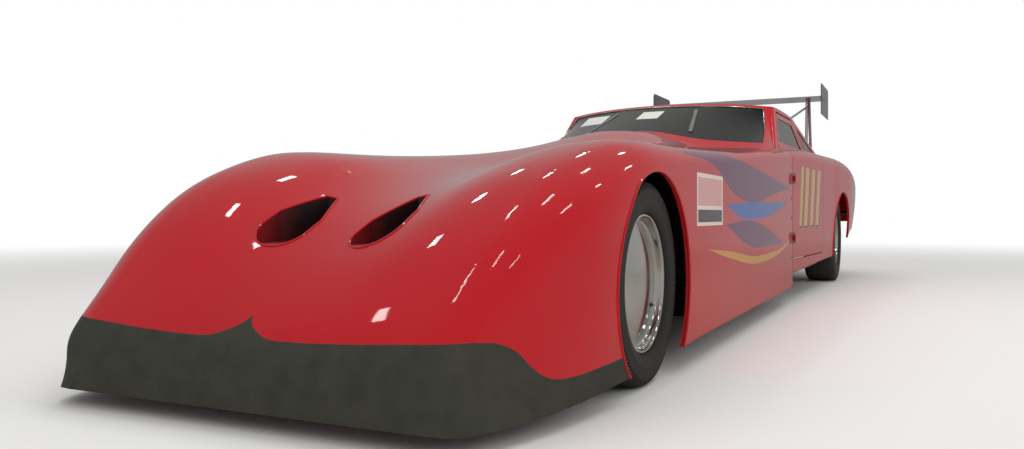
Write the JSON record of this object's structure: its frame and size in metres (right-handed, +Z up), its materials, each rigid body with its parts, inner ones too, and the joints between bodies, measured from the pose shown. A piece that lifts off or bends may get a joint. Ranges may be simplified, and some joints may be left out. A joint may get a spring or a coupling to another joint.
{
  "type": "drag racing car",
  "caption": "Long low full-bodied drag racing car with hood ducts, opening doors, steered front wheels, wide rear tyres and a high rear wing.",
  "frame": {"origin": "centre of the bounding box on the ground under the tyres", "axes": "+X to the car's left, +Y towards its tail, +Z up"},
  "size_m": [2.0042, 6.89, 1.695],
  "materials": {
    "body_paint": "glossy red paint on composite panels",
    "glass": "tinted clear plastic glazing",
    "carbon": "satin dark composite",
    "frame_paint": "satin dark grey paint on steel tube",
    "cast_metal": "bare machined metal",
    "polished_alloy": "polished",
    "sheet_alloy": "brushed sheet",
    "wing_silver": "satin",
    "seat_fabric": "woven cover",
    "tyre": "matt rubber"
  },
  "bodies": {
    "car": {"front_clip": "body_paint", "rear_body": "body_paint", "cabin_shell": "body_paint", "windscreen": "glass", "rear_window": "glass", "quarter_windows": "glass", "duct_trays": "body_paint", "chassis_rails": "frame_paint", "crossmembers": "frame_paint", "outriggers": "frame_paint", "axle_mounts": "frame_paint", "roll_cage": "frame_paint", "front_axle": "frame_paint", "rear_axle": "cast_metal", "steering_rack": "polished_alloy", "engine_block": "cast_metal", "drive_line": "cast_metal", "dashboard": "carbon", "driver_seat": "seat_fabric", "rear_suspension": "polished_alloy", "floor_pan": "sheet_alloy", "bulkheads": "sheet_alloy", "wing_blade": "wing_silver", "wing_endplates": "carbon", "wing_struts": "wing_silver", "wing_braces": "wing_silver", "door_hinges": "polished_alloy"},
    "tie_rod": {"tie_rod": "polished_alloy"},
    "steering_wheel": {"steering_wheel": "carbon"},
    "left_door": {"left_door_panel": "body_paint", "left_window_frame": "body_paint", "left_door_glass": "glass"},
    "left_knuckle": {"left_knuckle": "cast_metal"},
    "left_front_roller": {"left_front_tyre": "tyre", "left_front_wheel": "polished_alloy"},
    "left_rear_roller": {"left_rear_tyre": "tyre", "left_rear_wheel": "polished_alloy"},
    "right_door": {"right_door_panel": "body_paint", "right_window_frame": "body_paint", "right_door_glass": "glass"},
    "right_knuckle": {"right_knuckle": "cast_metal"},
    "right_front_roller": {"right_front_tyre": "tyre", "right_front_wheel": "polished_alloy"},
    "right_rear_roller": {"right_rear_tyre": "tyre", "right_rear_wheel": "polished_alloy"}
  },
  "joints": [
    {"name": "left_steer", "type": "hinge", "parent": "car", "child": "left_knuckle", "pos_m": [0.66, -2.455, 0.325], "axis": [0, 0, 1], "range_deg": [-12, 12]},
    {"name": "left_front_spin", "type": "hinge", "parent": "left_knuckle", "child": "left_front_roller", "pos_m": [0.747, -2.455, 0.325], "axis": [1, 0, 0], "continuous": true},
    {"name": "left_rear_spin", "type": "hinge", "parent": "car", "child": "left_rear_roller", "pos_m": [0.85, 2.405, 0.345], "axis": [1, 0, 0], "continuous": true},
    {"name": "left_door_swing", "type": "hinge", "parent": "car", "child": "left_door", "pos_m": [0.866, 0.355, 0.58], "axis": [0, 0, 1], "range_deg": [-60, 0]},
    {"name": "right_steer", "type": "hinge", "parent": "car", "child": "right_knuckle", "pos_m": [-0.66, -2.455, 0.325], "axis": [0, 0, 1], "range_deg": [-12, 12]},
    {"name": "right_front_spin", "type": "hinge", "parent": "right_knuckle", "child": "right_front_roller", "pos_m": [-0.747, -2.455, 0.325], "axis": [1, 0, 0], "continuous": true},
    {"name": "right_rear_spin", "type": "hinge", "parent": "car", "child": "right_rear_roller", "pos_m": [-0.85, 2.405, 0.345], "axis": [1, 0, 0], "continuous": true},
    {"name": "right_door_swing", "type": "hinge", "parent": "car", "child": "right_door", "pos_m": [-0.866, 0.355, 0.58], "axis": [0, 0, 1], "range_deg": [0, 60]},
    {"name": "tie_rod_shift", "type": "slide", "parent": "car", "child": "tie_rod", "axis": [1, 0, 0], "range_m": [-0.0296, 0.0296]},
    {"name": "steering_wheel_turn", "type": "hinge", "parent": "car", "child": "steering_wheel", "pos_m": [0.32, 0.845, 0.8], "axis": [0, 0.966, 0.2585], "range_deg": [-121, 121]}
  ],
  "couplings": [
    {"joint": "right_steer", "follows": "left_steer", "ratio": 1},
    {"joint": "tie_rod_shift", "follows": "left_steer", "m_per_rad": -0.14},
    {"joint": "steering_wheel_turn", "follows": "left_steer", "ratio": 10}
  ]
}
